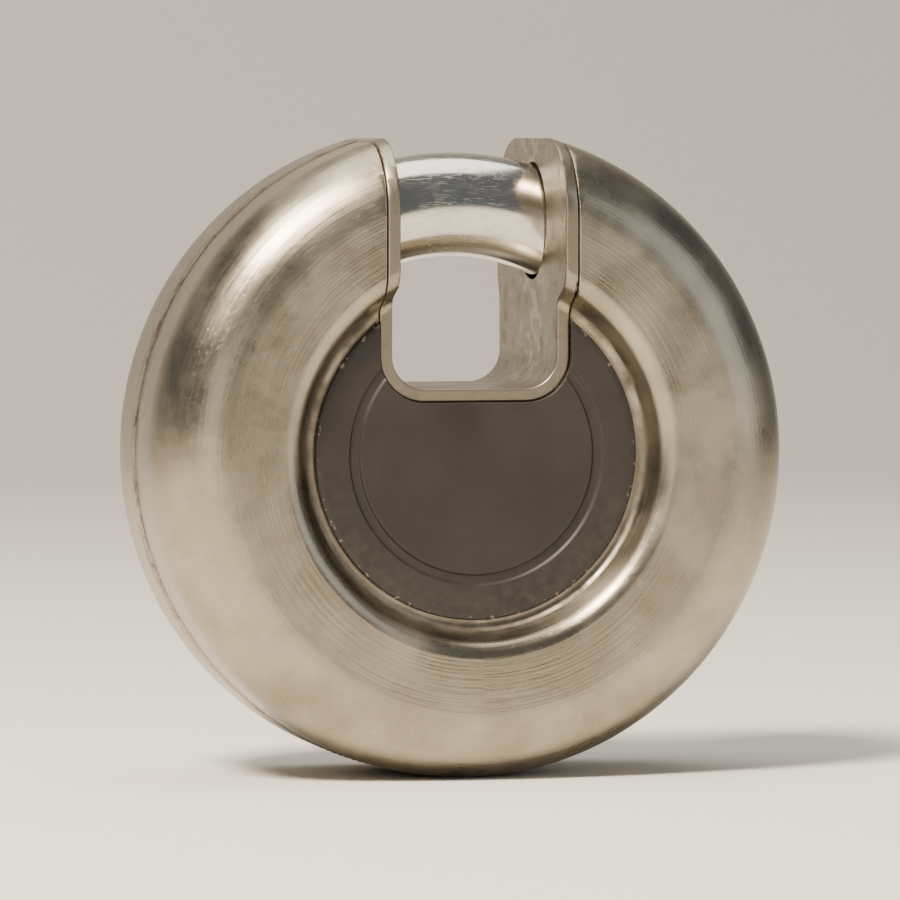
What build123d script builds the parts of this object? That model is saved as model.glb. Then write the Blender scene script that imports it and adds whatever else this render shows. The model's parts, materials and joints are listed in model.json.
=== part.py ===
from build123d import *
from math import atan2, cos, radians, sin, tan
import os

os.makedirs("parts", exist_ok=True)

# A round "disc" padlock: two drawn steel shells welded at the rim, a window at the top that
# takes a hasp, and an arc-shaped shackle that the key turns across it. X runs to the right, Z
# up, and the front face looks towards -Y. The origin is the middle of the disc, on the axis
# that the shackle turns about. A "clock" angle is counted from the top towards the left.

# ---------------------------------------------------------------- driving dimensions, in mm
case_r = 25.0
half_thickness = 10.0
sheet = 1.4
shoulder_r = 5.5
crest_r = 1.6
root_r = 0.8
recess_r = 13.4
bevel_run = 1.2
front_recess = 2.6
back_recess = 0.6
gap = 0.1

weld_leg = 0.5
weld_bulge = 0.1

window_half = 6.5
window_floor = 5.0
window_corner = 2.5
liner = 1.0
liner_gap = 0.05

shackle_ring_r = 19.0
shackle_r = 4.0
shackle_play = 0.2
shackle_nose = -36.0
shackle_tail = 93.0
opening = 60.0
channel_start = -38.5
channel_end = 154.5
nose_round = 2.4

plate_front = 3.2
plate_back = 6.2
arm_start = 60.0
arm_end = 86.0
arm_r = 22.0
hub_r = 3.3
rotor_play = 0.3
rivet_clocks = (66.0, 80.0)
rivet_r = 1.5
rivet_head_r = 2.2
rivet_depth = 2.0

pivot_r = 1.8
pivot_front = -4.4
pivot_back = 7.4
pivot_fit = 0.05
pin_play = 0.02
washer_r = 2.9
washer_front = -0.95
washer_back = -0.35

fork_clock = 150.0
fork_front = -0.3
fork_half = 3.1
fork_r = 6.4
slot_half = 1.65
slot_floor = 4.6
slot_start = 4.55
fork_room_r = 6.9

drive_e = 3.0
drive_clock = -60.0
ball_r = 1.3
ball_z = -4.5
neck_r = 0.8
cam_r = 5.2
cam_bottom = -8.4
cam_top = -7.0

housing_top = -8.5
barrel_r = 5.8
barrel_bottom = -22.4
spigot_r = 5.2
spigot_bottom = -24.2
bore_r = 4.45
lip_r = 4.3
tower_x = 12.6
tower_half = 2.75
tower_bottom = -19.2
cover = 1.0
cover_half = 1.6

shaft_fit = 0.05
plug_r = 4.4
plug_bottom = -22.8
shield_r = 4.7
shield_bottom = -23.9
keyway_half = 0.7
keyway_bottom_x = -3.3
keyway_top_x = 2.4
keyway_end = -10.2
keyway_rib_x = 0.9
keyway_rib = 0.9
keyway_ward = 0.3
chamber_floor = -1.4

pin_first = -18.0
pin_pitch = 2.3
pin_count = 4
pin_r = 0.95
chamber_r = 1.0
key_pin_end = 4.25
key_pin_lengths = (4.4, 5.2, 3.9, 4.8)
driver_start = 4.5
driver_end = 7.3
spring_end = 11.6
spring_inner_r = 0.6

screw_r = 0.8
screw_head_r = 1.5
screw_head = 0.6
screw_end = -9.9
screw_slot = 0.45

guard_half = 8.6
guard_bottom = -6.2
guard_top = 3.1
guard_front = -5.8
guard_back = -4.6

core_rivet_spots = ((11.0, 6.0), (11.0, -3.0), (18.0, -8.5), (-9.4, 8.2))
core_rivet_r = 1.0
core_rivet_head_r = 1.8
core_rivet_head = 0.8
core_rivet_front = -5.6
core_rivet_back = 7.6

cylinder_pin_x = 9.0
cylinder_pin_z = -8.1
cylinder_pin_r = 1.0
cylinder_pin_half = 5.0

inlay_r = 12.7
inlay = 0.5
groove_r = 9.6
groove_half = 0.35
groove_depth = 0.2

# ---------------------------------------------------------------- shared shapes
turning_axis = Axis((0, 0, 0), (0, -1, 0))
far = 2 * case_r


def face_plane(y):
    """The plane parallel to the front face at y, seen from the front, its normal towards -Y."""
    return Plane.XZ.offset(-y)


def radial_plane(clock):
    """The half plane through the turning axis at a clock angle: local x outwards, local y back."""
    turn = radians(clock)
    return Plane((0, 0, 0), x_dir=(-sin(turn), 0, cos(turn)), z_dir=(-cos(turn), 0, -sin(turn)))


def spot(radius, clock):
    """A point seen from the front, as (x, z), at a radius and a clock angle."""
    return (-radius * sin(radians(clock)), radius * cos(radians(clock)))


def half_section(side, recess, inset):
    """Section of one half of the case, from its axis to its rim, inset below the outer skin."""
    shift = inset * tan(atan2(recess, bevel_run) / 2)
    crest = half_thickness - inset
    floor = crest - recess
    rim = case_r - inset
    with BuildSketch(Plane.XY) as section:
        with BuildLine():
            skin = FilletPolyline(
                (0, side * floor),
                (recess_r + shift, side * floor),
                (recess_r + bevel_run + shift, side * crest),
                (rim, side * crest),
                (rim, 0),
                radius=[root_r + inset, crest_r - inset, shoulder_r - inset],
            )
            Polyline(skin @ 1, (0, 0), skin @ 0)
        make_face()
    return section.sketch


def window_outline(clearance):
    """The window seen from the front, grown by a clearance, with no end at the top."""
    with BuildSketch() as outline:
        with Locations((0, window_floor - clearance)):
            Rectangle(2 * (window_half + clearance), far, align=(Align.CENTER, Align.MIN))
        fillet(outline.vertices().group_by(Axis.Y)[0], window_corner + clearance)
    return Plane.XZ * outline.sketch


def arm_outline(start, end, radius):
    """A sector seen from the front, between two clock angles."""
    middle = (start + end) / 2
    with BuildSketch() as outline:
        with BuildLine():
            outer = ThreePointArc(spot(radius, start), spot(radius, middle), spot(radius, end))
            Polyline(outer @ 1, (0, 0), outer @ 0)
        make_face()
    return outline.sketch


def channel(clearance, start, end):
    """The ring-shaped round bar of the shackle, or the channel that it slides in."""
    with BuildPart() as bar:
        with BuildSketch(radial_plane(start)):
            with Locations((shackle_ring_r, 0)):
                Circle(shackle_r + clearance)
        revolve(axis=turning_axis, revolution_arc=end - start)
    return bar.part


# ---------------------------------------------------------------- the case
def shell(name, side, recess):
    """One drawn half of the case, chamfered at the seam, with its window and cylinder hole."""
    with BuildPart() as half:
        with BuildSketch(Plane.XY):
            add(half_section(side, recess, 0))
            add(half_section(side, recess, sheet), mode=Mode.SUBTRACT)
        revolve(axis=Axis.Y)
        seam = half.edges().filter_by(GeomType.CIRCLE).group_by(Axis.Y)[0 if side > 0 else -1]
        chamfer(seam.sort_by(SortBy.RADIUS)[-1], weld_leg)
        extrude(window_outline(liner + liner_gap), amount=far, both=True, mode=Mode.SUBTRACT)
        with BuildSketch(Plane.XY.offset(tower_bottom)):
            Circle(spigot_r + gap)
        extrude(amount=-far, mode=Mode.SUBTRACT)
    half.part.label = name
    export_step(half.part, f"parts/{name}.step")


shell("front_shell", -1, front_recess)
shell("back_shell", 1, back_recess)

with BuildPart() as rim_weld:
    with BuildSketch(Plane.XY):
        with BuildLine():
            ThreePointArc((case_r, -weld_leg), (case_r + weld_bulge, 0), (case_r, weld_leg))
            Polyline((case_r, weld_leg), (case_r - weld_leg, 0), (case_r, -weld_leg))
        make_face()
    revolve(axis=Axis.Y)
    extrude(window_outline(liner + liner_gap), amount=far, both=True, mode=Mode.SUBTRACT)
    with BuildSketch(Plane.XY.offset(tower_bottom)):
        Circle(spigot_r + gap)
    extrude(amount=-far, mode=Mode.SUBTRACT)
for name, bead in zip(("rim_weld_left", "rim_weld_right"), rim_weld.solids().sort_by(Axis.X)):
    bead.label = name
    export_step(bead, f"parts/{name}.step")

shackle_hole = channel(shackle_play + liner_gap, channel_start, channel_end)
with BuildPart() as window_liner:
    with BuildSketch(Plane.XY):
        add(half_section(-1, front_recess, 0))
        add(half_section(1, back_recess, 0))
    revolve(axis=Axis.Y)
    extrude(window_outline(liner), amount=far, both=True, mode=Mode.INTERSECT)
    extrude(window_outline(0), amount=far, both=True, mode=Mode.SUBTRACT)
    add(shackle_hole, mode=Mode.SUBTRACT)
window_liner.part.label = "window_liner"
export_step(window_liner.part, "parts/window_liner.step")

with BuildPart() as front_inlay:
    with BuildSketch(face_plane(front_recess - half_thickness)):
        Circle(inlay_r)
    extrude(amount=inlay)
    chamfer(front_inlay.edges().filter_by(GeomType.CIRCLE).sort_by(Axis.Y)[0], inlay / 2)
    with BuildSketch(face_plane(front_recess - half_thickness - inlay)):
        Circle(groove_r + groove_half)
        Circle(groove_r - groove_half, mode=Mode.SUBTRACT)
    extrude(amount=-groove_depth, mode=Mode.SUBTRACT)
    extrude(window_outline(liner + liner_gap), amount=far, both=True, mode=Mode.SUBTRACT)
front_inlay.part.label = "front_inlay"
export_step(front_inlay.part, "parts/front_inlay.step")


# ---------------------------------------------------------------- the cast core
shackle_channel = channel(shackle_play, channel_start, channel_end)
plate_room_back = plate_back + rotor_play

# all the room inside the core that the other pieces and their travel need, as one solid
with BuildPart() as rooms:
    with BuildSketch(face_plane(plate_room_back)):
        add(arm_outline(arm_start - 2, arm_end + opening + 2, arm_r + rotor_play))
    extrude(amount=plate_room_back - plate_front + rotor_play)
    with BuildSketch(face_plane(plate_room_back)):
        Circle(fork_room_r)
        with Locations((0, 1)):
            Rectangle(far, far, align=(Align.CENTER, Align.MIN), mode=Mode.SUBTRACT)
        Circle(hub_r + rotor_play)
    extrude(amount=plate_room_back - washer_front)
    with BuildSketch(Plane.XY.offset(housing_top)):
        Circle(barrel_r + gap)
    extrude(amount=-far)
    with BuildSketch(Plane.XY.offset(housing_top + gap)):
        Rectangle(tower_x + gap, 2 * (tower_half + gap), align=(Align.MIN, Align.CENTER))
    extrude(amount=tower_bottom - housing_top - 2 * gap)
    with BuildSketch(Plane.XY.offset(housing_top)):
        Circle(cam_r + rotor_play)
    extrude(amount=ball_z - ball_r + rotor_play - housing_top)
    with BuildSketch(face_plane(pivot_back + pin_play)):
        Circle(pivot_r + pin_play)
    extrude(amount=pivot_back - pivot_front + 2 * pin_play)
    with BuildSketch(face_plane(cylinder_pin_half)):
        with Locations((cylinder_pin_x, cylinder_pin_z)):
            Circle(cylinder_pin_r + pin_play)
    extrude(amount=2 * cylinder_pin_half)
    with BuildSketch(face_plane(half_thickness)):
        with Locations(*core_rivet_spots):
            Circle(core_rivet_r + pin_play)
    extrude(amount=2 * half_thickness)
    with BuildSketch(face_plane(half_thickness), face_plane(core_rivet_front + core_rivet_head)):
        with Locations(*core_rivet_spots):
            Circle(core_rivet_head_r + pin_play)
    extrude(amount=half_thickness + core_rivet_head - core_rivet_back)
    with BuildSketch(face_plane(guard_back)):
        with Locations((0, (guard_top + guard_bottom) / 2)):
            Rectangle(2 * guard_half, guard_top - guard_bottom)
    extrude(amount=half_thickness)


def core(name, side, recess):
    """One half of the cast core, which fills the case around the rooms."""
    with BuildPart() as half:
        with BuildSketch(Plane.XY):
            add(half_section(side, recess, sheet + gap))
        revolve(axis=Axis.Y)
        extrude(window_outline(liner + liner_gap), amount=far, both=True, mode=Mode.SUBTRACT)
        add(shackle_channel, mode=Mode.SUBTRACT)
        add(rooms.part, mode=Mode.SUBTRACT)
    half.part.label = name
    export_step(half.part, f"parts/{name}.step")


core("core_front", -1, front_recess)
core("core_back", 1, back_recess)

with BuildPart() as core_rivets:
    with BuildSketch(face_plane(core_rivet_back)):
        with Locations(*core_rivet_spots):
            Circle(core_rivet_r)
    extrude(amount=core_rivet_back - core_rivet_front)
    with BuildSketch(face_plane(core_rivet_back), face_plane(core_rivet_front + core_rivet_head)):
        with Locations(*core_rivet_spots):
            Circle(core_rivet_head_r)
    extrude(amount=core_rivet_head)
core_rivets.part.label = "core_rivets"
export_step(core_rivets.part, "parts/core_rivets.step")

with BuildPart() as drill_guard:
    with BuildSketch(face_plane(guard_back)):
        with Locations((0, (guard_top + guard_bottom) / 2)):
            RectangleRounded(2 * guard_half - gap, guard_top - guard_bottom - gap, 1)
    extrude(amount=guard_back - guard_front)
drill_guard.part.label = "drill_guard"
export_step(drill_guard.part, "parts/drill_guard.step")

# ---------------------------------------------------------------- the turning shackle
with BuildPart() as pivot_pin:
    with BuildSketch(face_plane(pivot_back)):
        Circle(pivot_r)
    extrude(amount=pivot_back - pivot_front)
    chamfer(pivot_pin.edges(), pivot_r / 6)
pivot_pin.part.label = "pivot_pin"
export_step(pivot_pin.part, "parts/pivot_pin.step")

with BuildPart() as pivot_washer:
    with BuildSketch(face_plane(washer_back)):
        Circle(washer_r)
        Circle(pivot_r + pivot_fit, mode=Mode.SUBTRACT)
    extrude(amount=washer_back - washer_front)
pivot_washer.part.label = "pivot_washer"
export_step(pivot_washer.part, "parts/pivot_washer.step")

rivet_spots = [spot(shackle_ring_r, clock) for clock in rivet_clocks]

def fork_outline():
    """The rotor's hub with its tail, seen from the front with the lock closed."""
    with BuildSketch() as outline:
        Rectangle(fork_r, 2 * fork_half, rotation=fork_clock + 90, align=(Align.MIN, Align.CENTER))
        Circle(fork_r, mode=Mode.INTERSECT)
        Circle(hub_r)
    return outline.sketch


def slot_outline():
    """The slot that the drive ball runs in, open at the fork's end."""
    with BuildSketch() as outline:
        with Locations(spot(slot_start, fork_clock)):
            Circle(slot_half)
            Rectangle(fork_r, 2 * slot_half, rotation=fork_clock + 90, align=(Align.MIN, Align.CENTER))
    return outline.sketch


with BuildPart() as rotor_rivets:
    with BuildSketch(face_plane(plate_back)):
        with Locations(*rivet_spots):
            Circle(rivet_r)
    extrude(amount=plate_back + rivet_depth)
    with BuildSketch(face_plane(plate_back)):
        with Locations(*rivet_spots):
            Circle(rivet_head_r)
    extrude(amount=rivet_head_r - rivet_r, taper=45)
rotor_rivets.part.label = "rotor_rivets"
export_step(rotor_rivets.part, "parts/rotor_rivets.step")

shackle_rod = channel(0, shackle_nose, shackle_tail)
with BuildPart() as shackle_bar:
    add(shackle_rod)
    nose = shackle_bar.faces().filter_by(GeomType.PLANE).sort_by(Axis.X)[-1]
    fillet(nose.edges(), nose_round)
    with BuildSketch(face_plane(half_thickness)):
        add(arm_outline(arm_start - 2, shackle_tail + 2, far))
    extrude(amount=half_thickness - plate_front, mode=Mode.SUBTRACT)
    add(rotor_rivets.part, mode=Mode.SUBTRACT)
shackle_bar.part.label = "shackle_bar"
export_step(shackle_bar.part, "parts/shackle_bar.step")

with BuildPart() as rotor_plate:
    with BuildSketch(face_plane(plate_back)):
        add(arm_outline(arm_start, arm_end, arm_r))
        add(fork_outline())
        Circle(pivot_r + pivot_fit, mode=Mode.SUBTRACT)
    extrude(amount=plate_back - plate_front)
    with BuildSketch(face_plane(slot_floor)):
        add(slot_outline())
    extrude(amount=slot_floor - plate_front, mode=Mode.SUBTRACT)
    add(rotor_rivets.part, mode=Mode.SUBTRACT)
rotor_plate.part.label = "rotor_plate"
export_step(rotor_plate.part, "parts/rotor_plate.step")

with BuildPart() as drive_fork:
    with BuildSketch(face_plane(plate_front)):
        add(fork_outline())
        add(slot_outline(), mode=Mode.SUBTRACT)
        Circle(pivot_r + pivot_fit, mode=Mode.SUBTRACT)
    extrude(amount=plate_front - fork_front)
drive_fork.part.label = "drive_fork"
export_step(drive_fork.part, "parts/drive_fork.step")

# ---------------------------------------------------------------- the lock cylinder
pin_heights = [pin_first + pin_pitch * number for number in range(pin_count)]
tower_middle = (housing_top + tower_bottom) / 2


def keyway_outline(ward):
    """The keyway seen along the plug, its blade along X, with two side ribs a ward high."""
    with BuildSketch() as outline:
        with Locations(((keyway_bottom_x + keyway_top_x) / 2, 0)):
            SlotOverall(keyway_top_x - keyway_bottom_x, 2 * keyway_half)
        if ward > 0:
            with Locations((keyway_rib_x, keyway_half), (-keyway_rib_x, -keyway_half)):
                Rectangle(keyway_rib, 2 * ward, mode=Mode.SUBTRACT)
    return outline.sketch


with BuildPart() as cylinder_housing:
    with BuildSketch(Plane.XY.offset(housing_top)):
        Circle(barrel_r)
    extrude(amount=barrel_bottom - housing_top)
    with BuildSketch(Plane.XY.offset(barrel_bottom)):
        Circle(spigot_r)
    extrude(amount=spigot_bottom - barrel_bottom)
    with BuildSketch(Plane.XY.offset(housing_top)):
        Rectangle(tower_x, 2 * tower_half, align=(Align.MIN, Align.CENTER))
    extrude(amount=tower_bottom - housing_top)
    with BuildSketch(Plane.XY.offset(housing_top)):
        Circle(bore_r)
    extrude(amount=plug_bottom - housing_top, mode=Mode.SUBTRACT)
    with BuildSketch(Plane.XY.offset(plug_bottom)):
        Circle(shield_r + shaft_fit)
    extrude(amount=shield_bottom - shaft_fit - plug_bottom, mode=Mode.SUBTRACT)
    with BuildSketch(Plane.XY.offset(shield_bottom)):
        Circle(lip_r)
    extrude(amount=spigot_bottom - shield_bottom, mode=Mode.SUBTRACT)
    with BuildSketch(Plane.YZ):
        with Locations(*[(0, height) for height in pin_heights]):
            Circle(chamber_r)
    extrude(amount=tower_x, mode=Mode.SUBTRACT)
    with BuildSketch(Plane.YZ.offset(spring_end)):
        with Locations((0, tower_middle)):
            Rectangle(2 * cover_half, far)
    extrude(amount=cover, mode=Mode.SUBTRACT)
    with BuildSketch(face_plane(cylinder_pin_half)):
        with Locations((cylinder_pin_x, cylinder_pin_z)):
            Circle(cylinder_pin_r + pin_play)
    extrude(amount=2 * cylinder_pin_half, mode=Mode.SUBTRACT)
cylinder_housing.part.label = "cylinder_housing"
export_step(cylinder_housing.part, "parts/cylinder_housing.step")

with BuildPart() as chamber_cover:
    with BuildSketch(Plane.YZ.offset(spring_end)):
        with Locations((0, tower_middle)):
            Rectangle(2 * (cover_half - shaft_fit), housing_top - tower_bottom - 2 * shaft_fit)
    extrude(amount=cover - shaft_fit)
    chamfer(chamber_cover.faces().sort_by(Axis.X)[-1].edges(), cover / 5)
chamber_cover.part.label = "chamber_cover"
export_step(chamber_cover.part, "parts/chamber_cover.step")

with BuildPart() as cylinder_pin:
    with BuildSketch(face_plane(cylinder_pin_half)):
        with Locations((cylinder_pin_x, cylinder_pin_z)):
            Circle(cylinder_pin_r)
            Circle(cylinder_pin_r / 2, mode=Mode.SUBTRACT)
            Rectangle(cylinder_pin_r / 3, far, align=(Align.CENTER, Align.MIN), mode=Mode.SUBTRACT)
    extrude(amount=2 * cylinder_pin_half)
cylinder_pin.part.label = "cylinder_pin"
export_step(cylinder_pin.part, "parts/cylinder_pin.step")

with BuildPart() as cam_screw:
    with BuildSketch(Plane.XY.offset(cam_top)):
        Circle(screw_head_r)
    extrude(amount=-screw_head)
    with BuildSketch(Plane.XY.offset(cam_top - screw_head)):
        Circle(screw_r)
    extrude(amount=screw_end - cam_top + screw_head)
    with BuildSketch(Plane.XY.offset(cam_top)):
        Rectangle(far, screw_slot)
    extrude(amount=-screw_head / 2, mode=Mode.SUBTRACT)
cam_screw.part.label = "cam_screw"
export_step(cam_screw.part, "parts/cam_screw.step")

with BuildPart() as plug:
    with BuildSketch(Plane.XY.offset(cam_bottom)):
        Circle(plug_r)
    extrude(amount=plug_bottom - cam_bottom)
    with BuildSketch(Plane.XY.offset(keyway_end)):
        add(keyway_outline(keyway_ward))
    extrude(amount=plug_bottom - keyway_end, mode=Mode.SUBTRACT)
    with BuildSketch(Plane.YZ.offset(chamber_floor)):
        with Locations(*[(0, height) for height in pin_heights]):
            Circle(chamber_r)
    extrude(amount=plug_r - chamber_floor, mode=Mode.SUBTRACT)
    with BuildSketch(Plane.XY.offset(cam_bottom)):
        Circle(screw_r)
    extrude(amount=screw_end - cam_bottom, mode=Mode.SUBTRACT)
plug.part.label = "plug"
export_step(plug.part, "parts/plug.step")

with BuildPart() as keyway_shield:
    with BuildSketch(Plane.XY.offset(plug_bottom - shaft_fit)):
        Circle(shield_r)
        add(keyway_outline(0), mode=Mode.SUBTRACT)
    extrude(amount=shield_bottom - plug_bottom + shaft_fit)
keyway_shield.part.label = "keyway_shield"
export_step(keyway_shield.part, "parts/keyway_shield.step")

drive_spot = (drive_e * sin(radians(drive_clock)), drive_e * cos(radians(drive_clock)))
with BuildPart() as cam:
    with BuildSketch(Plane.XY.offset(cam_bottom)):
        Circle(cam_r)
    extrude(amount=cam_top - cam_bottom)
    with BuildSketch(Plane.XY.offset(cam_top)):
        with Locations(drive_spot):
            Circle(neck_r)
    extrude(amount=ball_z - cam_top)
    with Locations((*drive_spot, ball_z)):
        Sphere(ball_r)
    with Locations((0, 0, cam_top)):
        CounterBoreHole(screw_r, screw_head_r, screw_head, depth=cam_top - cam_bottom)
cam.part.label = "cam"
export_step(cam.part, "parts/cam.step")

for number, (height, length) in enumerate(zip(pin_heights, key_pin_lengths), start=1):
    with BuildPart() as key_pin:
        with BuildSketch(Plane.YZ.offset(key_pin_end)):
            with Locations((0, height)):
                Circle(pin_r)
        extrude(amount=-length)
        chamfer(key_pin.edges().group_by(Axis.X)[0], pin_r / 2)
    key_pin.part.label = f"key_pin_{number}"
    export_step(key_pin.part, f"parts/key_pin_{number}.step")

    with BuildPart() as driver_pin:
        with BuildSketch(Plane.YZ.offset(driver_start)):
            with Locations((0, height)):
                Circle(pin_r)
        extrude(amount=driver_end - driver_start)
        chamfer(driver_pin.edges().filter_by(GeomType.CIRCLE), pin_r / 5)
    driver_pin.part.label = f"driver_pin_{number}"
    export_step(driver_pin.part, f"parts/driver_pin_{number}.step")

    with BuildPart() as pin_spring:
        with BuildSketch(Plane.YZ.offset(driver_end)):
            with Locations((0, height)):
                Circle(pin_r)
                Circle(spring_inner_r, mode=Mode.SUBTRACT)
        extrude(amount=spring_end - driver_end)
    pin_spring.part.label = f"pin_spring_{number}"
    export_step(pin_spring.part, f"parts/pin_spring_{number}.step")
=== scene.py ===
"""Dresses a round disc padlock: drawn steel case, welded rim, window, chromed shackle and brass cylinder."""

import json
from functools import partial
from math import atan2, cos, pi, radians, sin, tan

import bmesh
import bpy
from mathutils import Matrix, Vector


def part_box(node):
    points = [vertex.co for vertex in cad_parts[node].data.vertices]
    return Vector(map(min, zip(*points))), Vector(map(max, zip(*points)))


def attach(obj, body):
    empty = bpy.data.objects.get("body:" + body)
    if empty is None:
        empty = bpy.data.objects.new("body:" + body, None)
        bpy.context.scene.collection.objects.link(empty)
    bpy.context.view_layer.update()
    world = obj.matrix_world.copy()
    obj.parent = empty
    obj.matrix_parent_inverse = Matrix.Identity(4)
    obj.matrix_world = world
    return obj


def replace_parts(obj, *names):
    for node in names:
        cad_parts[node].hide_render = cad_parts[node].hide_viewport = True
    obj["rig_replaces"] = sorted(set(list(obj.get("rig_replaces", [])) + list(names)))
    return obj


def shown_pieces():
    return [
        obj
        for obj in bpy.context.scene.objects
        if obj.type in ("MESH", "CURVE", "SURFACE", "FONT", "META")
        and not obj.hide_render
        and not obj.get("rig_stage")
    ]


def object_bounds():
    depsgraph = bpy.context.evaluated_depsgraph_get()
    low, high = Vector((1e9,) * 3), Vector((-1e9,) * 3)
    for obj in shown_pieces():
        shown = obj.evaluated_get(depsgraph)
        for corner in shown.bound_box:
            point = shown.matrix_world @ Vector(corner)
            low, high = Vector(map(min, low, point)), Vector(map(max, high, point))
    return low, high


bl_info = {
    "name": "Disc padlock dresser",
    "version": (1, 0, 0),
    "blender": (4, 5, 0),
    "location": "3D View > Sidebar > Padlock",
    "description": "Models and finishes the visible pieces of a round disc padlock",
    "category": "Object",
}

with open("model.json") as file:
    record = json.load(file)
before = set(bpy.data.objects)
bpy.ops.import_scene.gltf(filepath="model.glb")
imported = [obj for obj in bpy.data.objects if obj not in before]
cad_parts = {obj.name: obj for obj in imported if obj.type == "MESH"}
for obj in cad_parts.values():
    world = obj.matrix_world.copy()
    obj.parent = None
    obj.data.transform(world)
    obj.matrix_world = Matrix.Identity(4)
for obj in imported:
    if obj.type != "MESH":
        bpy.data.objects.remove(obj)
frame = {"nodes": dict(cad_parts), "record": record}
cad_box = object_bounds()

MM = 0.001
TURNING_AXIS = (0, 1, 0)  # the shackle and every turned piece go round this line through the origin
MIDDLE = (0, 0, 0)
TOUCHING = 0.01 * MM  # points closer than this are taken to be at the same place
# degrees: shading is smooth across corners up to this, and thin round pieces with few sides need more
PLAIN_SMOOTHING = 32
THIN_SMOOTHING = 60


def length(name, about, default):
    """A size that the user may change, in metres."""
    return bpy.props.FloatProperty(name=name, description=about, default=default, unit="LENGTH", precision=5)


def angle(name, about, default):
    """An angle that the user may change, given here in degrees."""
    return bpy.props.FloatProperty(name=name, description=about, default=radians(default), subtype="ANGLE")


class PadlockSizes(bpy.types.PropertyGroup):
    """Sizes of the pieces that are modelled here."""

    case_radius: length("Case radius", "From the middle of the disc to its rim", 25 * MM)
    half_thickness: length("Half thickness", "From the seam to the crest of either face", 10 * MM)
    sheet: length("Sheet", "Thickness of the drawn steel", 1.4 * MM)
    shoulder: length("Shoulder radius", "Round between a face and the rim", 5.5 * MM)
    crest: length("Crest radius", "Bend at the inner edge of the ring", 1.6 * MM)
    root: length("Root radius", "Bend where the ring meets the sunk middle", 0.8 * MM)
    recess_radius: length("Recess radius", "Radius of the sunk middle", 13.4 * MM)
    bevel_run: length("Bevel run", "How far the ring's inner wall leans out", 1.2 * MM)
    front_recess: length("Front recess", "Depth of the sunk middle of the front", 2.6 * MM)
    back_recess: length("Back recess", "Depth of the sunk middle of the back", 0.6 * MM)
    window_half: length("Window half width", "From the middle to either wall of the window", 6.5 * MM)
    window_floor: length("Window floor", "Height of the window's floor", 5 * MM)
    window_corner: length("Window corner", "Radius of the window's lower corners", 2.5 * MM)
    liner: length("Liner", "Thickness of the window's lining", 1 * MM)
    joint_gap: length("Joint gap", "Gap between the lining and the case", 0.05 * MM)
    edge_round: length("Edge round", "Round on cut and pressed edges", 0.16 * MM)
    ring_radius: length("Shackle ring radius", "Radius that the shackle bar is bent to", 19 * MM)
    bar_radius: length("Shackle bar radius", "Radius of the shackle bar", 4 * MM)
    nose_round: length("Nose round", "Round on the shackle's free end", 2.4 * MM)
    nose_clock: angle("Nose angle", "Clock angle of the free end, from the top towards the left", -36)
    tail_clock: angle("Tail angle", "Clock angle of the driven end", 93)
    inlay_radius: length("Inlay radius", "Radius of the dark middle", 12.7 * MM)
    inlay: length("Inlay", "Thickness of the dark middle", 0.5 * MM)
    keyhole_radius: length("Keyhole radius", "Hole in the rim for the cylinder", 5.3 * MM)


class PadlockColours(bpy.types.PropertyGroup):
    """Colours of the finishes, as sRGB hex."""

    steel: bpy.props.StringProperty(name="Case steel", description="Drawn stainless steel", default="#948b7a")
    chrome: bpy.props.StringProperty(name="Shackle", description="Polished hard chrome", default="#d6d3cc")
    inlay: bpy.props.StringProperty(name="Dark middle", description="Stoved satin enamel", default="#1f1a17")
    brass: bpy.props.StringProperty(name="Brass", description="Turned brass", default="#c9a65a")
    floor: bpy.props.StringProperty(name="Floor", description="Pale studio floor", default="#dcd8d0")


# ---------------------------------------------------------------- modelling, as by hand
def deselect():
    """Leaves edit mode and clears the selection, which holds the CAD nodes at first."""
    if bpy.context.mode != "OBJECT":
        bpy.ops.object.mode_set(mode="OBJECT")
    bpy.ops.object.select_all(action="DESELECT")


def begin(name, add, **settings):
    """Adds a primitive at its size and place, names it and opens it in edit mode with everything selected."""
    deselect()
    add(**settings)
    piece = bpy.context.object
    piece.name = name
    piece.data.name = name
    bpy.ops.object.transform_apply(location=True, rotation=True, scale=True)
    bpy.ops.object.mode_set(mode="EDIT")
    bpy.ops.mesh.select_mode(type="VERT")
    bpy.ops.mesh.select_all(action="SELECT")
    return piece


def reopen(piece):
    """Opens a piece in edit mode with nothing else selected."""
    deselect()
    piece.select_set(True)
    bpy.context.view_layer.objects.active = piece
    bpy.ops.object.mode_set(mode="EDIT")


def select(piece, kind, test):
    """Selects the open piece's vertices, edges or faces that pass a test of their middle and direction."""
    bpy.ops.mesh.select_mode(type=kind)
    bpy.ops.mesh.select_all(action="DESELECT")
    mesh = bmesh.from_edit_mesh(piece.data)
    if kind == "VERT":
        for vert in mesh.verts:
            vert.select_set(test(vert.co, vert.normal))
    elif kind == "EDGE":
        for edge in mesh.edges:
            start, end = (vert.co for vert in edge.verts)
            edge.select_set(test((start + end) / 2, (end - start).normalized()))
    else:
        for face in mesh.faces:
            face.select_set(test(face.calc_center_median(), face.normal))
    mesh.select_flush_mode()
    bmesh.update_edit_mesh(piece.data)


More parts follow.
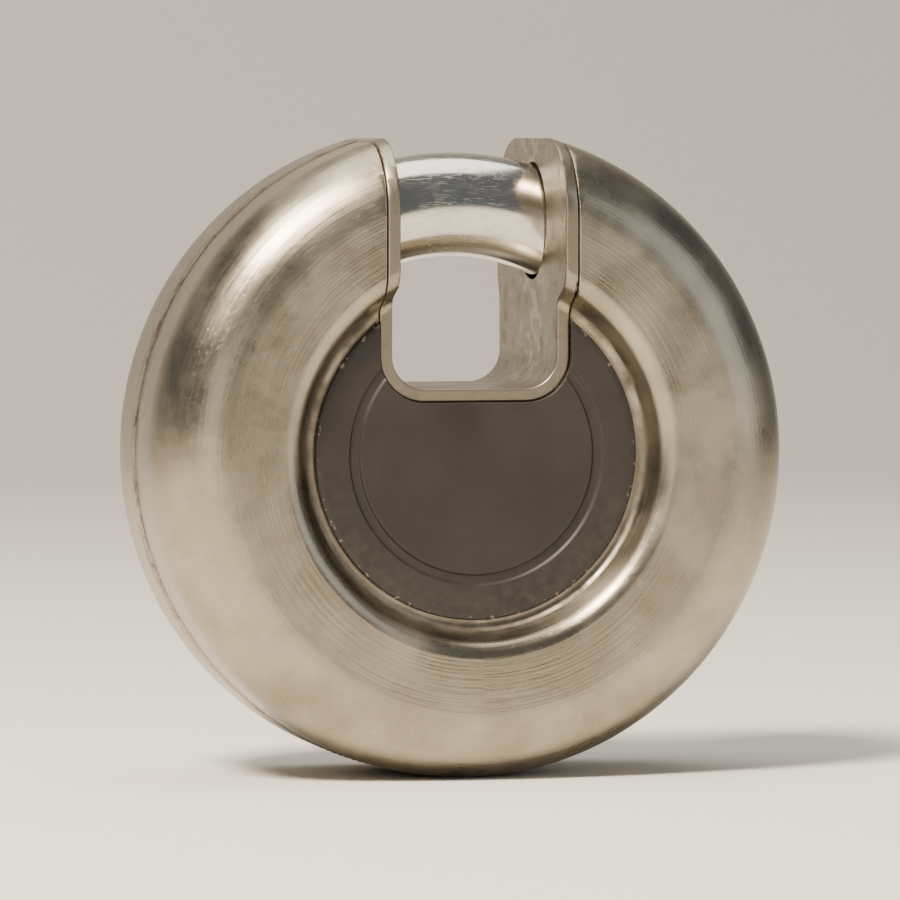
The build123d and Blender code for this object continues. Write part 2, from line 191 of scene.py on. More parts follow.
def draw_line(name, corners, rounds, spacing=0.4 * MM):
    """Draws a line of edges through the corners, rounded with points at about a spacing, and leaves it open."""
    points = [Vector((x, y, 0)) for x, y in corners]
    piece = begin(name, bpy.ops.mesh.primitive_plane_add, size=MM)
    bpy.ops.mesh.merge(type="CENTER")
    bpy.ops.transform.translate(value=points[0])
    for start, end in zip(points, points[1:]):
        bpy.ops.mesh.extrude_region_move(TRANSFORM_OT_translate={"value": end - start})
    for before, corner, after, radius in zip(points, points[1:], points[2:], rounds[1:]):
        if radius > 0:
            turn = (corner - before).angle(after - corner)
            select(piece, "VERT", lambda at, _: (at - corner).length < TOUCHING)
            steps = max(4, round(radius * turn / spacing))
            bpy.ops.mesh.bevel(offset=radius * tan(turn / 2), segments=steps, affect="VERTICES")
    return piece


def turn_line(steps):
    """Turns the open line all the way round the shackle's axis, and closes the seam and the poles."""
    bpy.ops.mesh.select_all(action="SELECT")
    bpy.ops.mesh.spin(steps=steps, angle=2 * pi, center=MIDDLE, axis=TURNING_AXIS)
    tidy_skin()


def tidy_skin():
    """Merges doubles of the open piece, turns its faces outwards and leaves edit mode."""
    bpy.ops.mesh.select_all(action="SELECT")
    bpy.ops.mesh.remove_doubles(threshold=0.001 * MM)
    bpy.ops.mesh.normals_make_consistent(inside=False)
    bpy.ops.object.mode_set(mode="OBJECT")


def modify(piece, kind, **settings):
    """Adds a modifier to a piece and applies it."""
    deselect()
    piece.select_set(True)
    bpy.context.view_layer.objects.active = piece
    modifier = piece.modifiers.new(kind, kind)
    for name, value in settings.items():
        setattr(modifier, name, value)
    bpy.ops.object.modifier_apply(modifier=modifier.name)


def carve(piece, cutter, operation="DIFFERENCE"):
    """Cuts a piece with another shape, which is then thrown away."""
    modify(piece, "BOOLEAN", operation=operation, object=cutter, solver="EXACT")
    bpy.data.objects.remove(cutter)


def merge_flats(piece):
    """Makes one face of each flat that a cut or a turning left in many strips."""
    reopen(piece)
    bpy.ops.mesh.select_all(action="SELECT")
    bpy.ops.mesh.dissolve_limited(angle_limit=radians(0.5))
    deselect()


def round_edges(piece, width, sharper_than=35):
    """Joins points that a cut left almost on each other, and rounds the sharp edges."""
    reopen(piece)
    bpy.ops.mesh.select_mode(type="EDGE")
    bpy.ops.mesh.select_all(action="DESELECT")
    bpy.ops.mesh.edges_select_sharp(sharpness=radians(sharper_than))
    bpy.ops.mesh.remove_doubles(threshold=0.6 * width)
    deselect()
    modify(
        piece, "BEVEL", width=width, segments=3, limit_method="ANGLE",
        angle_limit=radians(sharper_than), use_clamp_overlap=False, loop_slide=False,
    )


def finish_piece(piece, body, nodes, material, smooth=PLAIN_SMOOTHING):
    """Smooths a piece's shading, gives it its finish and hangs it on its body in place of CAD nodes."""
    deselect()
    piece.select_set(True)
    bpy.context.view_layer.objects.active = piece
    bpy.ops.object.shade_smooth_by_angle(angle=radians(smooth))
    modify(piece, "WEIGHTED_NORMAL", keep_sharp=True)
    piece.data.materials.clear()
    piece.data.materials.append(material)
    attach(piece, body)
    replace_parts(piece, *nodes)


# ---------------------------------------------------------------- materials
def linear(hex_colour):
    """An sRGB hex colour as linear red, green, blue and alpha."""
    values = [int(hex_colour[i : i + 2], 16) / 255 for i in (1, 3, 5)]
    return [v / 12.92 if v <= 0.04045 else ((v + 0.055) / 1.055) ** 2.4 for v in values] + [1]


def add_node(tree, kind, *inputs, **named):
    """Adds a shader node and returns its first output in use.

    Inputs come in order, or by name with a capital letter and underscores, and the other names are the
    node's own settings. An input takes a number, a vector, an sRGB hex colour or another node's output;
    None leaves it alone.
    """
    node = tree.nodes.new("ShaderNode" + kind)
    for name, value in named.items():
        if name[0].islower():
            setattr(node, name, value)
    given = list(zip([each for each in node.inputs if each.enabled], inputs))
    given += [
        (node.inputs[name.replace("_", " ")], value) for name, value in named.items() if name[0].isupper()
    ]
    for socket, value in given:
        if isinstance(value, bpy.types.NodeSocket):
            tree.links.new(value, socket)
        elif value is not None:
            socket.default_value = linear(value) if isinstance(value, str) else value
    return next((each for each in node.outputs if each.enabled), None)


def new_material(name):
    """An empty material, and the function that adds a node to it."""
    material = bpy.data.materials.new(name)
    material.use_nodes = True
    material.node_tree.nodes.clear()
    return material, partial(add_node, material.node_tree)


def axis_places(add, axis="Y"):
    """Radius, angle and height about an axis through the origin, in metres and radians."""
    parts = add("SeparateXYZ", add("TexCoord").node.outputs["Object"]).node.outputs
    across, up, along = {"Y": (0, 2, 1), "Z": (0, 1, 2)}[axis]
    flat = add("CombineXYZ", parts[across], parts[up])
    radius = add("VectorMath", flat, operation="LENGTH").node.outputs["Value"]
    return radius, add("Math", parts[across], parts[up], operation="ARCTAN2"), parts[along]


def lines_round(add, pitch, places, drift, detail):
    """Fine lines round the axis, as a turning tool or a polishing mop leaves them, one to each pitch."""
    radius, turn, height = places
    rows = add(
        "CombineXYZ",
        add("Math", radius, pitch, operation="DIVIDE"),
        add("Math", turn, drift, operation="MULTIPLY"),
        add("Math", height, pitch, operation="DIVIDE"),
    )
    return add("TexNoise", rows, Scale=1.0, Detail=detail, Roughness=0.6)


def patches(add, size, least, most, detail=5.0):
    """Soft irregular patches of about a size: 0 where the pattern is under least, 1 where it is over most."""
    place = add("TexCoord").node.outputs["Object"]
    pattern = add("TexNoise", place, Scale=1 / size, Detail=detail, Roughness=0.55)
    return add("MapRange", pattern, least, most, interpolation_type="SMOOTHSTEP")


def hairlines(add, spacing, tilt, rarity):
    """Long thin scratches in one direction across the faces, fewer as the rarity rises from 0 to 1."""
    place = add("TexCoord").node.outputs["Object"]
    size = (spacing, 4 * spacing, 28 * spacing)
    along = add("Mapping", place, vector_type="TEXTURE", Rotation=(0.2, tilt, 0.0), Scale=size)
    pattern = add("TexNoise", along, Scale=1.0, Detail=2.0, Roughness=0.4)
    least, most = 0.5 + 0.18 * rarity, 0.56 + 0.18 * rarity
    return add("MapRange", pattern, least, most, interpolation_type="SMOOTHSTEP")


def finish_surface(add, colour, roughness, heights, **settings):
    """Joins a colour, a roughness and bump layers, each a height and its depth, to the surface shader."""
    normal = None
    for height, depth in heights:
        normal = add("Bump", Distance=depth, Height=height, Normal=normal)
    surface = add("BsdfPrincipled", Base_Color=colour, Roughness=roughness, Normal=normal, **settings)
    add("OutputMaterial", Surface=surface)


def mopped_stainless(sizes, colours):
    """Drawn stainless sheet, polished with a rotating mop: long soft highlights with fine lines round the
    disc, a scatter of hairline scratches from use, greasy smudges, and grime with painted shade at the ring's
    foot and beside the weld."""
    material, add = new_material("mopped_drawn_stainless")
    places = axis_places(add)
    radius, _, height = places
    depth = add("Math", height, operation="ABSOLUTE")
    # real mop lines are a few hundredths of a millimetre apart, drawn 0.2 mm apart so that they show
    mop = lines_round(add, 0.2 * MM, places, 1.5, 3.0)
    scratches = add(
        "Math", hairlines(add, 0.06 * MM, 1.1, 0.8), hairlines(add, 0.07 * MM, -0.6, 0.9), operation="MAXIMUM"
    )
    smudge = patches(add, 7 * MM, 0.35, 0.7)
    # painted shade: the corner at the ring's foot and a band beside the weld seam are darkened, broken up by
    # grime patches
    from_foot = add("Math", radius, sizes.recess_radius, operation="SUBTRACT")
    foot = add("MapRange", add("Math", from_foot, operation="ABSOLUTE"), 1.1 * MM, 0.1 * MM)
    sunk = add("MapRange", depth, sizes.half_thickness - 1.2 * MM, sizes.half_thickness - 2.3 * MM)
    seam = add("MapRange", depth, 1.7 * MM, 0.7 * MM, 0.0, 0.75)
    foot_and_seam_shade = add("Math", add("Math", foot, sunk, operation="MULTIPLY"), seam, operation="MAXIMUM")
    grime_and_shade = add("Math", foot_and_seam_shade, patches(add, 2.5 * MM, 0.3, 0.75, 8.0), operation="MULTIPLY")
    tone = add("Mix", smudge, colours.steel, "#aea492", data_type="RGBA")
    tone = add("Mix", add("Math", scratches, 0.16, operation="MULTIPLY"), tone, "#d2cabb", data_type="RGBA")
    # painted shade and grime: dark brown over the ring's foot and beside the seam
    tone = add("Mix", add("Math", grime_and_shade, 0.8, operation="MULTIPLY"), tone, "#3c3128", data_type="RGBA")
    greasy = add("MapRange", smudge, 0.0, 1.0, 0.20, 0.33)
    lined = add("Math", mop, 0.12, greasy, operation="MULTIPLY_ADD")
    rough = add("Math", grime_and_shade, 0.4, lined, operation="MULTIPLY_ADD", use_clamp=True)
    dents = patches(add, 2.6 * MM, 0.2, 0.8, 2.0)
    layers = (mop, 0.02 * MM), (scratches, -0.002 * MM), (dents, 0.012 * MM)
    finish_surface(add, tone, rough, layers, Metallic=1.0)
    return material


def fusion_weld():
    """An unpolished fusion weld in stainless: a little dull, with straw and brown heat tint beside the bead."""
    material, add = new_material("fusion_weld_stainless")
    _, _, height = axis_places(add)
    tint = add("MapRange", add("Math", height, operation="ABSOLUTE"), 0.2 * MM, 0.75 * MM)
    tone = add("Mix", tint, "#a39a88", "#7c6146", data_type="RGBA")
    blotch = patches(add, 1.6 * MM, 0.45, 0.7)
    tone = add("Mix", blotch, tone, "#5a4c40", data_type="RGBA")
    rough = add("MapRange", blotch, 0.0, 1.0, 0.34, 0.55)
    finish_surface(add, tone, rough, [(patches(add, 0.25 * MM, 0.3, 0.7), 0.006 * MM)], Metallic=1.0)
    return material


def pressed_stainless():
    """Pressed stainless strip: dull, brushed front to back, scuffed bright by a hasp, and dusty in places."""
    material, add = new_material("pressed_stainless_strip")
    _, _, height = axis_places(add)
    place = add("TexCoord").node.outputs["Object"]
    # brush lines are drawn 0.09 mm apart so that they show
    grain = add("Mapping", place, Scale=(1 / (0.09 * MM), 1 / (2.5 * MM), 1 / (0.09 * MM)))
    brushed = add("TexNoise", grain, Scale=1.0, Detail=3.0)
    middle = add("MapRange", add("Math", height, operation="ABSOLUTE"), 7 * MM, 2 * MM)
    scuff = add("Math", patches(add, 1.2 * MM, 0.48, 0.6, 6.0), middle, operation="MULTIPLY")
    dust = patches(add, 2.2 * MM, 0.5, 0.72, 6.0)
    tone = add("Mix", add("Math", scuff, 0.6, operation="MULTIPLY"), "#958b7b", "#c4bcac", data_type="RGBA")
    tone = add("Mix", add("Math", dust, 0.35, operation="MULTIPLY"), tone, "#5d5246", data_type="RGBA")
    lined = add("MapRange", brushed, 0.3, 0.7, 0.3, 0.42)
    rough = add("Math", dust, 0.18, lined, operation="MULTIPLY_ADD")
    finish_surface(add, tone, rough, [(brushed, 0.005 * MM), (scuff, -0.005 * MM)], Metallic=1.0)
    return material


def stoved_enamel(sizes, colours):
    """Satin black enamel stoved onto a spun steel disc: the spinning lines show faintly through it, with fine
    orange peel, pale dust settled along its lower edge, and bright steel where its rim has chipped."""
    material, add = new_material("stoved_enamel_on_spun_steel")
    places = axis_places(add)
    radius, turn, _ = places
    # the spinning lines are 0.3 mm apart, about the feed of a spinning lathe
    spun = lines_round(add, 0.3 * MM, places, 0.8, 1.0)
    edge = add("MapRange", radius, sizes.inlay_radius - 0.35 * MM, sizes.inlay_radius - 0.05 * MM)
    bare = add("Math", edge, patches(add, 0.5 * MM, 0.6, 0.64, 6.0), operation="MULTIPLY")
    margin = add("MapRange", radius, sizes.inlay_radius - 3.5 * MM, sizes.inlay_radius - 0.2 * MM)
    lower = add("MapRange", add("Math", turn, operation="COSINE"), 0.2, -0.7)
    settled = add("Math", margin, lower, operation="MULTIPLY")
    dust = add("Math", settled, patches(add, 0.7 * MM, 0.35, 0.8, 8.0), operation="MULTIPLY")
    haze = patches(add, 6 * MM, 0.35, 0.75)
    tone = add("Mix", add("Math", haze, 0.4, operation="MULTIPLY"), colours.inlay, "#332c28", data_type="RGBA")
    tone = add("Mix", add("Math", dust, 0.3, operation="MULTIPLY"), tone, "#5c5248", data_type="RGBA")
    tone = add("Mix", bare, tone, "#a89e8d", data_type="RGBA")
    hazy = add("MapRange", haze, 0.0, 1.0, 0.44, 0.56)
    rough = add("Math", dust, 0.25, hazy, operation="MULTIPLY_ADD", use_clamp=True)
    peel = patches(add, 0.35 * MM, 0.2, 0.8, 2.0)
    layers = (spun, 0.012 * MM), (peel, 0.003 * MM), (bare, -0.02 * MM)
    finish_surface(add, tone, rough, layers, Metallic=bare)
    return material


def hard_chrome(sizes, colours):
    """Hard chrome on ground bar: mirror bright with faint grinding marks round the bar, and a rubbed,
    scratched stretch in the middle where a hasp hangs on it."""
    material, add = new_material("hard_chrome_on_ground_bar")
    _, turn, _ = axis_places(add)
    # the bar is ground across its length, in marks drawn 0.13 mm apart so that they show
    rows = add("CombineXYZ", add("Math", turn, sizes.ring_radius / (0.13 * MM), operation="MULTIPLY"))
    ground = add("TexNoise", rows, Scale=1.0, Detail=3.0)
    rub_ends, rub_full = 0.34, 0.12  # radians to either side of the top
    rubbed = add("MapRange", add("Math", turn, operation="ABSOLUTE"), rub_ends, rub_full)
    worn = add("Math", rubbed, hairlines(add, 0.05 * MM, pi / 2, 0.5), operation="MULTIPLY")
    film = patches(add, 3 * MM, 0.35, 0.7)
    tone = add("Mix", add("Math", film, 0.4, operation="MULTIPLY"), colours.chrome, "#b9b2a4", data_type="RGBA")
    tone = add("Mix", add("Math", worn, 0.2, operation="MULTIPLY"), tone, "#8c8375", data_type="RGBA")
    filmed = add("MapRange", film, 0.0, 1.0, 0.07, 0.16)
    rough = add("Math", rubbed, 0.06, filmed, operation="MULTIPLY_ADD")
    rough = add("Math", worn, 0.12, rough, operation="MULTIPLY_ADD")
    finish_surface(add, tone, rough, [(ground, 0.002 * MM), (worn, -0.002 * MM)], Metallic=1.0)
    return material


def turned_metal(name, fresh, stained, pitch, least_rough, axis="Z"):
    """Metal turned on a lathe: fine tool lines round its axis, and a thin uneven stain of old oil."""
    material, add = new_material(name)
    tool = lines_round(add, pitch, axis_places(add, axis), 0.7, 3.0)
    stain = patches(add, 1.8 * MM, 0.2, 0.95, 6.0)
    stained_rough = add("MapRange", stain, 0.0, 1.0, least_rough, least_rough + 0.15)
    rough = add("Math", tool, 0.12, stained_rough, operation="MULTIPLY_ADD")
    tone = add("Mix", stain, fresh, stained, data_type="RGBA")
    finish_surface(add, tone, rough, [(tool, 0.006 * MM)], Metallic=1.0)
    return material


def grained_metal(name, fresh, stained, grain, depth, least_rough):
    """Cast, blanked, drawn or plated metal with no direction of its own: an even grain and a patchy tone."""
    material, add = new_material(name)
    fine = patches(add, grain, 0.3, 0.7, 3.0)
    patch = patches(add, 12 * grain, 0.15, 0.95)
    rough = add("MapRange", fine, 0.0, 1.0, least_rough, least_rough + 0.18)
    tone = add("Mix", patch, fresh, stained, data_type="RGBA")
    finish_surface(add, tone, rough, [(fine, depth)], Metallic=1.0)
    return material


# ---------------------------------------------------------------- shared shapes
def skin_corners(sizes, side, recess):
    """Corners of half of the case's skin, from its axis to the seam, and the round at each."""
    floor = sizes.half_thickness - recess
    corners = [
        (0, side * floor),
        (sizes.recess_radius, side * floor),
        (sizes.recess_radius + sizes.bevel_run, side * sizes.half_thickness),
        (sizes.case_radius, side * sizes.half_thickness),
    ]
    return corners, [0, sizes.root, sizes.crest, sizes.shoulder]


def window_block(sizes, clearance):
    """A block with the window's outline, grown by a clearance, that runs past both faces and the rim."""
    half = sizes.window_half + clearance
    floor = sizes.window_floor - clearance
    reach = 2 * sizes.case_radius
    block = begin(
        "window_block", bpy.ops.mesh.primitive_cube_add,
        size=1, scale=(2 * half, reach, reach), location=(0, 0, floor + reach / 2),
    )
    select(block, "EDGE", lambda at, along: abs(along.y) > 0.9 and at.z < floor + MM)
    bpy.ops.mesh.bevel(offset=sizes.window_corner + clearance, segments=14, affect="EDGES")
    deselect()
    return block


def rod(name, radius, low, high, sides=96):
    """A plain round rod along the cylinder's axis, to cut with or to shape further."""
    piece = begin(
        name, bpy.ops.mesh.primitive_cylinder_add,
        vertices=sides, radius=radius, depth=high - low, location=(0, 0, (low + high) / 2),
    )
    deselect()
    return piece


def keyhole(sizes):
    """The hole in the bottom rim that the cylinder's face shows through."""
    return rod("keyhole", sizes.keyhole_radius, -2 * sizes.case_radius, -0.75 * sizes.case_radius)


# ---------------------------------------------------------------- operators, one for each kind of piece
class PADLOCK_OT_case_halves(bpy.types.Operator):
    """Models the front and back halves of the case as drawn cups with a sunk middle"""

    bl_idname = "padlock.case_halves"
    bl_label = "Case halves"

    def execute(self, context):
        sizes = context.scene.padlock_sizes
        steel = mopped_stainless(sizes, context.scene.padlock_colours)
        for name, side, recess in (("front", -1, sizes.front_recess), ("back", 1, sizes.back_recess)):
            corners, rounds = skin_corners(sizes, side, recess)
            corners.append((sizes.case_radius, side * sizes.joint_gap))
            cup = draw_line(f"drawn_{name}_shell", corners, rounds + [0])
            turn_line(240)
            modify(cup, "SOLIDIFY", thickness=sizes.sheet, offset=-1, use_even_offset=True)
            # the sheet's inner skin folds in tight bends, and merging close points takes the folds out
            reopen(cup)
            bpy.ops.mesh.select_all(action="SELECT")
            bpy.ops.mesh.remove_doubles(threshold=2 * TOUCHING)
            carve(cup, window_block(sizes, sizes.liner + sizes.joint_gap))
            carve(cup, keyhole(sizes))
            round_edges(cup, sizes.edge_round)
            finish_piece(cup, "case", [f"{name}_shell"], steel)
        return {"FINISHED"}


class PADLOCK_OT_rim_weld(bpy.types.Operator):
    """Models the rippled weld bead that joins the halves round the rim"""

    bl_idname = "padlock.rim_weld"
    bl_label = "Rim weld"

    def execute(self, context):
        sizes = context.scene.padlock_sizes
        edge = sizes.case_radius
        width, height, depth, toe = 0.8 * MM, 0.1 * MM, 0.5 * MM, 0.02 * MM
        corners = [
            (edge - depth, -width), (edge - toe, -width), (edge + 0.7 * height, -width / 2),
            (edge + height, 0), (edge + 0.7 * height, width / 2), (edge - toe, width),
            (edge - depth, width), (edge - depth, -width),
        ]
        bead = draw_line("rim_weld_bead", corners, [0] * 8)
        ripple, ripple_depth, bow, sunk_share = 0.55 * MM, 0.045 * MM, 0.5, 0.34
        turn_line(3 * round(2 * pi * edge / ripple))
        step = ripple / edge

        def sunk(at, _):
            """About every third row of the bead's skin, in a wave that is offset towards the bead's sides."""
            row = atan2(at.x, at.z) / step + abs(at.y) / width * bow
            return at.xz.length > edge + TOUCHING and row % 1 < sunk_share

        reopen(bead)
        select(bead, "VERT", sunk)
        shrink = 1 - ripple_depth / edge
        bpy.ops.transform.resize(value=(shrink, 1, shrink), center_override=MIDDLE)
        deselect()
        carve(bead, window_block(sizes, sizes.liner + sizes.joint_gap))
        carve(bead, keyhole(sizes))
        weld = fusion_weld()
        finish_piece(bead, "case", ["rim_weld_left", "rim_weld_right"], weld, THIN_SMOOTHING)
        return {"FINISHED"}


class PADLOCK_OT_window_liner(bpy.types.Operator):
    """Models the pressed strip that lines the window, with the holes that the shackle slides through"""

    bl_idname = "padlock.window_liner"
    bl_label = "Window lining"

    def execute(self, context):
        sizes = context.scene.padlock_sizes
        front, front_rounds = skin_corners(sizes, -1, sizes.front_recess)
        back, back_rounds = skin_corners(sizes, 1, sizes.back_recess)
        strip = draw_line("pressed_window_liner", front + back[::-1], front_rounds + back_rounds[::-1])
        turn_line(240)
        carve(strip, window_block(sizes, sizes.liner), "INTERSECT")
        carve(strip, window_block(sizes, 0))
        hole_clearance = 0.25 * MM
        ring = begin(
            "shackle_hole", bpy.ops.mesh.primitive_torus_add, major_radius=sizes.ring_radius,
            minor_radius=sizes.bar_radius + hole_clearance, major_segments=160, minor_segments=64,
            rotation=(pi / 2, 0, 0),
        )
        deselect()
        carve(strip, ring)
        merge_flats(strip)
        round_edges(strip, sizes.edge_round)
        finish_piece(strip, "case", ["window_liner"], pressed_stainless())
        return {"FINISHED"}


class PADLOCK_OT_front_inlay(bpy.types.Operator):
    """Models the dark spun disc that is sunk in the middle of the front"""

    bl_idname = "padlock.front_inlay"
    bl_label = "Dark middle"

    def execute(self, context):
        sizes = context.scene.padlock_sizes
        floor = sizes.front_recess - sizes.half_thickness
        face = floor - sizes.inlay
        rim = sizes.inlay_radius
        groove, groove_depth, groove_top, groove_foot = 9.6 * MM, 0.2 * MM, 0.45 * MM, 0.3 * MM
        droop, droop_run = 0.05 * MM, 0.5 * MM
        corners = [
            (0, floor), (rim, floor), (rim, face + droop), (rim - droop_run, face),
            (groove + groove_top, face), (groove + groove_foot, face + groove_depth),
            (groove - groove_foot, face + groove_depth), (groove - groove_top, face), (0, face),
        ]
        rounds = [0, 0, 0.2 * MM, 0.5 * MM, 0.15 * MM, 0.1 * MM, 0.1 * MM, 0.15 * MM, 0]
        disc = draw_line("spun_front_disc", corners, rounds)
        turn_line(200)
        carve(disc, window_block(sizes, sizes.liner + sizes.joint_gap))
        round_edges(disc, 0.4 * sizes.edge_round)
        enamel = stoved_enamel(sizes, context.scene.padlock_colours)
        finish_piece(disc, "case", ["front_inlay"], enamel)
        return {"FINISHED"}


class PADLOCK_OT_shackle_bar(bpy.types.Operator):
    """Models the round bar bent to a ring that closes the window"""

    bl_idname = "padlock.shackle_bar"
    bl_label = "Shackle bar"

    def execute(self, context):
        sizes = context.scene.padlock_sizes
        sides, bends, nose_steps, cap_reach = 56, 110, 10, 0.3 * MM
        start = sizes.nose_clock + sizes.nose_round / sizes.ring_radius
        outward = Vector((-sin(start), 0, cos(start)))
        ahead = Vector((cos(start), 0, sin(start)))
        bar = begin(
            "chromed_shackle_bar", bpy.ops.mesh.primitive_circle_add,
            vertices=sides, radius=sizes.bar_radius, fill_type="NGON",
            location=outward * sizes.ring_radius, rotation=(0, pi / 2 - start, 0),
        )
        bpy.ops.mesh.spin(steps=bends, angle=sizes.tail_clock - start, center=MIDDLE, axis=TURNING_AXIS)
        cap = outward * sizes.ring_radius
        radius, done = sizes.bar_radius, 0
        for step in range(1, nose_steps + 1):
            turn = step * pi / 2 / nose_steps
            select(bar, "FACE", lambda at, _: (at - cap).length < cap_reach)
            along = sizes.nose_round * sin(turn)
            bpy.ops.mesh.extrude_region_move(TRANSFORM_OT_translate={"value": ahead * (along - done)})
            cap = cap + ahead * (along - done)
            narrow = sizes.bar_radius - sizes.nose_round * (1 - cos(turn))
            bpy.ops.transform.resize(value=(narrow / radius,) * 3, center_override=cap)
            radius, done = narrow, along
        tidy_skin()
        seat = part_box("rotor_plate")[0].y
        seat_clock, reach, depth = radians(58), 30 * MM, 5 * MM
        flat = begin(
            "plate_seat", bpy.ops.mesh.primitive_cube_add, size=1,
            scale=(2 * reach, 2 * depth, 2 * reach), rotation=(0, -seat_clock, 0),
            location=Vector((-cos(seat_clock) * reach, seat + depth, -sin(seat_clock) * reach)),
        )
        deselect()
        carve(bar, flat)
        chrome = hard_chrome(sizes, context.scene.padlock_colours)
        finish_piece(bar, "shackle", ["shackle_bar"], chrome)
        return {"FINISHED"}


class PADLOCK_OT_keyway_shield(bpy.types.Operator):
    """Models the hardened disc at the cylinder's face, with the slot that the key goes in through"""

    bl_idname = "padlock.keyway_shield"
    bl_label = "Keyway shield"

    def execute(self, context):
        low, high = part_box("keyway_shield")
        radius = high.x
        disc = rod("hardened_keyway_disc", radius, low.z, high.z, 128)
        reopen(disc)
        select(disc, "FACE", lambda at, out: out.z < -0.9)
        for width, rise in ((0.35 * MM, 0), (0.12 * MM, 0.12 * MM)):
            bpy.ops.mesh.inset(thickness=width, depth=-rise)
        deselect()
        slot_low, slot_high, slot_half = -3.3 * MM, 2.4 * MM, 0.7 * MM
        slot = begin(
            "key_slot", bpy.ops.mesh.primitive_cube_add, size=1,
            scale=(slot_high - slot_low, 2 * slot_half, 4 * (high.z - low.z)),
            location=((slot_low + slot_high) / 2, 0, (low.z + high.z) / 2),
        )
        select(slot, "EDGE", lambda at, along: abs(along.z) > 0.9)
        bpy.ops.mesh.bevel(offset=0.3 * MM, segments=4, affect="EDGES")
        deselect()
        carve(disc, slot)
        round_edges(disc, 0.5 * context.scene.padlock_sizes.edge_round)
        steel = turned_metal("turned_hardened_steel", "#8f8b83", "#57504a", 0.08 * MM, 0.24)
        finish_piece(disc, "plug", ["keyway_shield"], steel)
        return {"FINISHED"}


class PADLOCK_OT_pin_springs(bpy.types.Operator):
    """Models one coiled pin spring and copies it into every chamber"""

    bl_idname = "padlock.pin_springs"
    bl_label = "Pin springs"

    def execute(self, context):
        wire, turns, steps = 0.17 * MM, 8, 22
        steel = grained_metal("drawn_spring_wire", "#8d8a86", "#5c5854", 0.05 * MM, 0.001 * MM, 0.25)
        chambers = sorted(name for name in frame["nodes"] if name.startswith("pin_spring_"))
        low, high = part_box(chambers[0])
        middle = (low + high) / 2
        coil_radius = (high.z - low.z) / 2 - wire
        spring = begin(
            "coiled_" + chambers[0], bpy.ops.mesh.primitive_circle_add, vertices=12, radius=wire,
            location=(0, 0, coil_radius), rotation=(pi / 2, 0, 0),
        )
        deselect()
        span = high.x - low.x - 2 * wire
        pitch = span / turns
        modify(spring, "SCREW", axis="X", screw_offset=pitch, iterations=turns, steps=steps, render_steps=steps)
        reopen(spring)
        bpy.ops.mesh.select_all(action="SELECT")
        bpy.ops.mesh.fill_holes(sides=0)
        bpy.ops.transform.translate(value=(low.x + wire, middle.y, middle.z))
        tidy_skin()
        for name in chambers[1:]:
            start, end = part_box(name)
            deselect()
            spring.select_set(True)
            context.view_layer.objects.active = spring
            bpy.ops.object.duplicate()
            copy = context.object
            copy.name = copy.data.name = "coiled_" + name
            bpy.ops.transform.translate(value=(start + end) / 2 - middle)
            bpy.ops.object.transform_apply(location=True, rotation=True, scale=True)
            finish_piece(copy, "case", [name], steel, THIN_SMOOTHING)
        finish_piece(spring, "case", [chambers[0]], steel, THIN_SMOOTHING)
        return {"FINISHED"}


class PADLOCK_OT_inner_finishes(bpy.types.Operator):
    """Gives every piece that keeps its own shape the finish of what it is made of"""

    bl_idname = "padlock.inner_finishes"
    bl_label = "Finishes of the inner pieces"

    def execute(self, context):
        brass = context.scene.padlock_colours.brass
        finishes = {
            "core_zinc": grained_metal("die_cast_zinc", "#8f9092", "#6d6c6c", 0.35 * MM, 0.02 * MM, 0.42),
            "rivet_steel": grained_metal(
                "upset_steel_rivets", "#a19c94", "#6e675e", 0.12 * MM, 0.004 * MM, 0.3
            ),
            "hardened_steel": grained_metal(
                "oil_blackened_steel", "#56524e", "#3a3530", 0.15 * MM, 0.004 * MM, 0.32
            ),
            "pin_steel": grained_metal("ground_pin_steel", "#a9a7a3", "#7d7973", 0.08 * MM, 0.002 * MM, 0.2),
            "rotor_steel": grained_metal(
                "blanked_steel_plate", "#8e8a84", "#655e57", 0.2 * MM, 0.006 * MM, 0.34
            ),
            "brass": turned_metal("turned_brass", brass, "#9a7a44", 0.12 * MM, 0.22),
            "pin_brass": grained_metal("drawn_brass_pins", "#d3b46c", "#a5854a", 0.08 * MM, 0.002 * MM, 0.2),
        }
        replaced = {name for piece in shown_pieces() for name in piece.get("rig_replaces", [])}
        for part in frame["record"]["subparts"]:
            if part["node"] in replaced:
                continue
            slots = frame["nodes"][part["node"]].data.materials
            slots.clear()
            slots.append(finishes[part["material_slot"]])
        return {"FINISHED"}


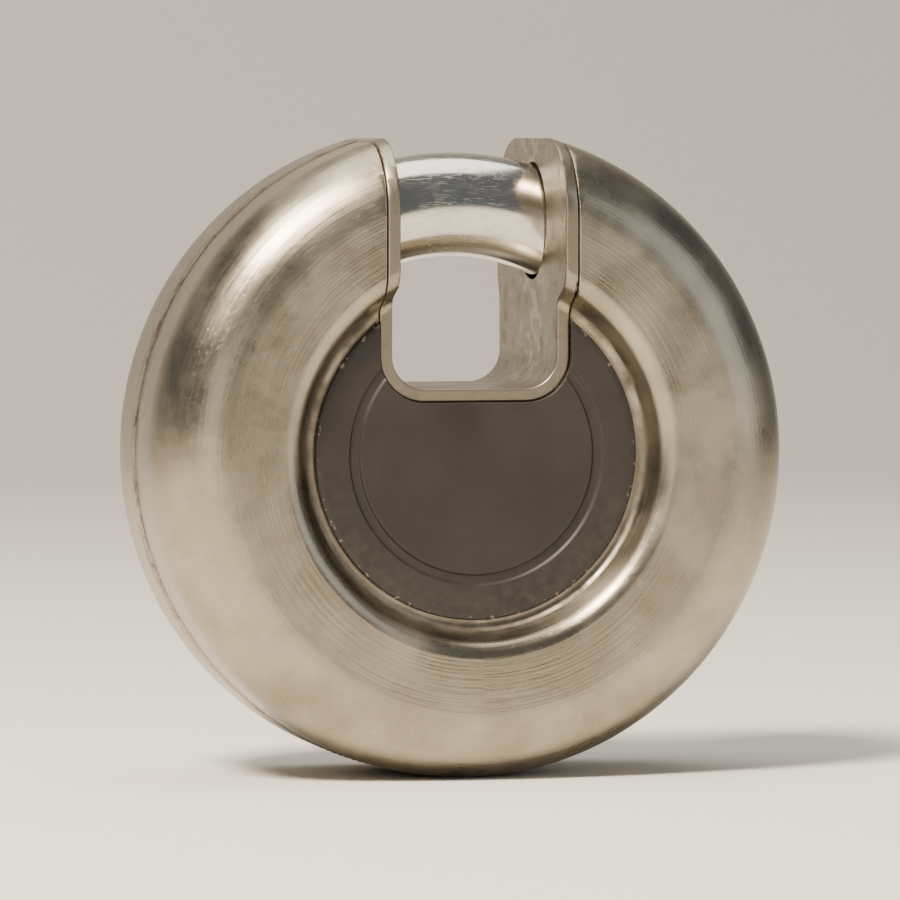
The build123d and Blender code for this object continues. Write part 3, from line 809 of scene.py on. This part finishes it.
class PADLOCK_OT_stage(bpy.types.Operator):
    """Sets the pale floor, the soft lights and the camera"""

    bl_idname = "padlock.stage"
    bl_label = "Stage"

    def execute(self, context):
        scene = context.scene
        ground = cad_box[0][2]
        width, wall, sweep = 1.6, 1.2, 0.35
        rear = 0.4 * width
        floor = begin("studio_floor", bpy.ops.mesh.primitive_plane_add, size=width, location=(0, 0, ground))
        select(floor, "EDGE", lambda at, _: at.y > rear)
        bpy.ops.mesh.extrude_region_move(TRANSFORM_OT_translate={"value": (0, 0, wall)})
        select(floor, "EDGE", lambda at, along: at.y > rear and at.z < ground + wall / 4 and abs(along.x) > 0.9)
        bpy.ops.mesh.bevel(offset=sweep, segments=24, affect="EDGES")
        deselect()
        floor.select_set(True)
        bpy.ops.object.shade_smooth()
        paper, add = new_material("matt_background_paper")
        fibres = patches(add, 0.6 * MM, 0.2, 0.8)
        tone = add("Mix", fibres, scene.padlock_colours.floor, "#e4e0d8", data_type="RGBA")
        finish_surface(add, tone, 0.85, [(fibres, 0.01 * MM)])
        floor.data.materials.append(paper)
        floor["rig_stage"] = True

        for name, place, size, power, colour in (
            ("key_softbox", (-0.26, -0.22, 0.44), 0.14, 9.0, "#fff2de"),
            ("fill_softbox", (0.45, -0.35, 0.16), 0.40, 0.6, "#eef3fa"),
            ("top_softbox", (0.02, 0.10, 0.55), 0.45, 2.4, "#fff8ee"),
            ("low_card", (-0.25, -0.50, 0.02), 0.25, 0.3, "#fff8ee"),
        ):
            aim = Vector(place).to_track_quat("Z", "Y").to_euler()
            bpy.ops.object.light_add(type="AREA", location=place, rotation=aim)
            lamp = context.object
            lamp.name = lamp.data.name = name
            lamp.data.shape = "SQUARE"
            lamp.data.size = size
            lamp.data.energy = power
            lamp.data.color = linear(colour)[:3]

        world = bpy.data.worlds.new("pale_studio")
        scene.world = world
        world.use_nodes = True
        sky = world.node_tree.nodes["Background"]
        sky.inputs["Color"].default_value = linear("#dfe3ea")
        sky.inputs["Strength"].default_value = 0.22

        around, above, distance = radians(-15), radians(2.5), 0.58
        away = Vector((sin(around) * cos(above), -cos(around) * cos(above), sin(above)))
        level = away.to_track_quat("Z", "Y").to_euler()
        bpy.ops.object.camera_add(location=away * distance, rotation=level)
        scene.camera = context.object
        scene.camera.data.lens = 300
        scene.camera.data.clip_start = 0.01
        return {"FINISHED"}


PIECES = (
    PADLOCK_OT_case_halves,
    PADLOCK_OT_rim_weld,
    PADLOCK_OT_window_liner,
    PADLOCK_OT_front_inlay,
    PADLOCK_OT_shackle_bar,
    PADLOCK_OT_keyway_shield,
    PADLOCK_OT_pin_springs,
    PADLOCK_OT_inner_finishes,
    PADLOCK_OT_stage,
)


class PADLOCK_PT_dresser(bpy.types.Panel):
    """Lists the padlock's pieces, sizes and colours"""

    bl_idname = "PADLOCK_PT_dresser"
    bl_label = "Disc padlock"
    bl_space_type = "VIEW_3D"
    bl_region_type = "UI"
    bl_category = "Padlock"

    def draw(self, context):
        for group in (context.scene.padlock_sizes, context.scene.padlock_colours):
            box = self.layout.box()
            for name in group.bl_rna.properties.keys():
                if name not in ("rna_type", "name"):
                    box.prop(group, name)
        for piece in PIECES:
            self.layout.operator(piece.bl_idname)


def register():
    """Adds the sizes, colours, operators and panel to Blender."""
    for kind in (PadlockSizes, PadlockColours, *PIECES, PADLOCK_PT_dresser):
        bpy.utils.register_class(kind)
    bpy.types.Scene.padlock_sizes = bpy.props.PointerProperty(type=PadlockSizes)
    bpy.types.Scene.padlock_colours = bpy.props.PointerProperty(type=PadlockColours)


def unregister():
    """Takes them out again."""
    del bpy.types.Scene.padlock_colours
    del bpy.types.Scene.padlock_sizes
    for kind in (PADLOCK_PT_dresser, *reversed(PIECES), PadlockColours, PadlockSizes):
        bpy.utils.unregister_class(kind)


def main():
    """Registers the add-on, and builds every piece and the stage."""
    register()
    for piece in PIECES:
        getattr(bpy.ops.padlock, piece.bl_idname.split(".")[1])()


if __name__ == "__main__":
    main()
